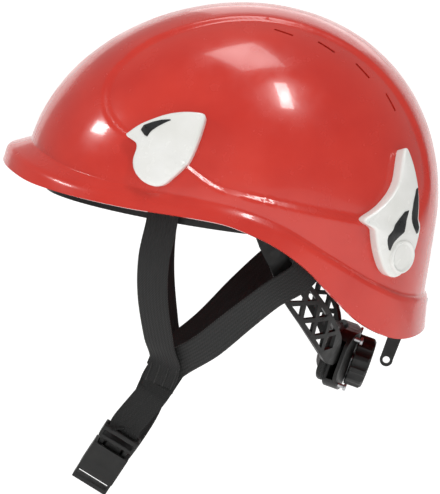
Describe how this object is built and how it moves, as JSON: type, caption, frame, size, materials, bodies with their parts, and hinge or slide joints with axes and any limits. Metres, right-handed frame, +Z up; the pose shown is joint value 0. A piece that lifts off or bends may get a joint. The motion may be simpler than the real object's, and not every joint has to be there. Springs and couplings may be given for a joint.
{
  "type": "tree climbing helmet",
  "caption": "Short-peaked climbing helmet with vented crown, side lamp clips, cradle, dial nape adjuster and buckled chin straps.",
  "frame": {"origin": "centre of the headband ring in the plane of its lower edge, where the wearer's head seats", "axes": "+Z up in the worn attitude, -Y towards the peak at the front, +X to the wearer's left"},
  "size_m": [0.213, 0.278, 0.324],
  "materials": {
    "shell_red": "gloss",
    "clip_white": "gloss",
    "inlay_black": "satin",
    "moulded_black": "satin",
    "webbing_black": "woven polyester",
    "pad_black": "brushed padding",
    "steel": "plated"
  },
  "bodies": {
    "root": {"shell": "shell_red", "headband": "moulded_black", "sweatband": "pad_black", "crown_pad": "pad_black", "cradle_strap_a": "webbing_black", "cradle_strap_b": "webbing_black", "front_clip_left": "clip_white", "front_clip_right": "clip_white", "front_clip_inlay_left": "inlay_black", "front_clip_inlay_right": "inlay_black", "rear_clip_left": "clip_white", "rear_clip_right": "clip_white", "rear_inlay_front_left": "inlay_black", "rear_inlay_front_right": "inlay_black", "rear_inlay_back_left": "inlay_black", "rear_inlay_back_right": "inlay_black", "rear_button_left": "clip_white", "rear_button_right": "clip_white", "hanger_front_left": "moulded_black", "hanger_front_right": "moulded_black", "hanger_rear_left": "moulded_black", "hanger_rear_right": "moulded_black", "anchor_front_left": "moulded_black", "anchor_front_right": "moulded_black", "anchor_rear_left": "moulded_black", "anchor_rear_right": "moulded_black", "strap_front_left": "webbing_black", "strap_front_right": "webbing_black", "strap_rear_left": "webbing_black", "strap_rear_right": "webbing_black", "chin_strap_left": "webbing_black", "tether_lug": "moulded_black", "tether_rivet": "steel", "buckle_male": "moulded_black"},
    "yoke": {"pivot_pin_left": "moulded_black", "pivot_pin_right": "moulded_black", "nape_housing": "moulded_black", "nape_cover": "moulded_black", "cover_screws": "steel", "nape_pad": "pad_black", "detent_spring": "steel"},
    "arm_left": {"nape_arm_left": "moulded_black"},
    "arm_right": {"nape_arm_right": "moulded_black"},
    "dial": {"pinion": "steel", "knob": "moulded_black", "knob_screw": "steel"},
    "buckle_socket": {"buckle_female": "moulded_black", "chin_strap_right": "webbing_black"},
    "prong_left": {"buckle_prong_left": "moulded_black"},
    "prong_right": {"buckle_prong_right": "moulded_black"}
  },
  "joints": [
    {"name": "nape_tilt", "type": "hinge", "parent": "root", "child": "yoke", "pos_m": [0, 0.038, 0.008], "axis": [1, 0, 0], "range_deg": [-12, 2]},
    {"name": "dial_turn", "type": "hinge", "parent": "yoke", "child": "dial", "pos_m": [0, 0.10683, -0.07812], "axis": [0, 0.9816, -0.1908], "range_deg": [-50, 50]},
    {"name": "arm_left_draw", "type": "hinge", "parent": "yoke", "child": "arm_left", "pos_m": [0, 0.038, 0.008], "axis": [0, 0.1908, 0.9816], "range_deg": [-2.8, 2.8]},
    {"name": "arm_right_draw", "type": "hinge", "parent": "yoke", "child": "arm_right", "pos_m": [0, 0.038, 0.008], "axis": [0, 0.1908, 0.9816], "range_deg": [-2.8, 2.8]},
    {"name": "buckle_release", "type": "slide", "parent": "root", "child": "buckle_socket", "axis": [-0.3206, -0.3707, -0.8717], "range_m": [0, 0.02]},
    {"name": "prong_left_pinch", "type": "hinge", "parent": "root", "child": "prong_left", "pos_m": [0.01453, -0.04265, -0.15012], "axis": [-0.9472, 0.1255, 0.295], "range_deg": [-16, 0.5]},
    {"name": "prong_right_pinch", "type": "hinge", "parent": "root", "child": "prong_right", "pos_m": [0.01453, -0.02719, -0.1567], "axis": [-0.9472, 0.1255, 0.295], "range_deg": [-0.5, 16]}
  ],
  "couplings": [
    {"joint": "arm_left_draw", "follows": "dial_turn", "ratio": -0.0545},
    {"joint": "arm_right_draw", "follows": "dial_turn", "ratio": 0.0545},
    {"joint": "prong_left_pinch", "follows": "buckle_release", "rad_per_m": -12.5},
    {"joint": "prong_right_pinch", "follows": "buckle_release", "rad_per_m": 12.5}
  ]
}
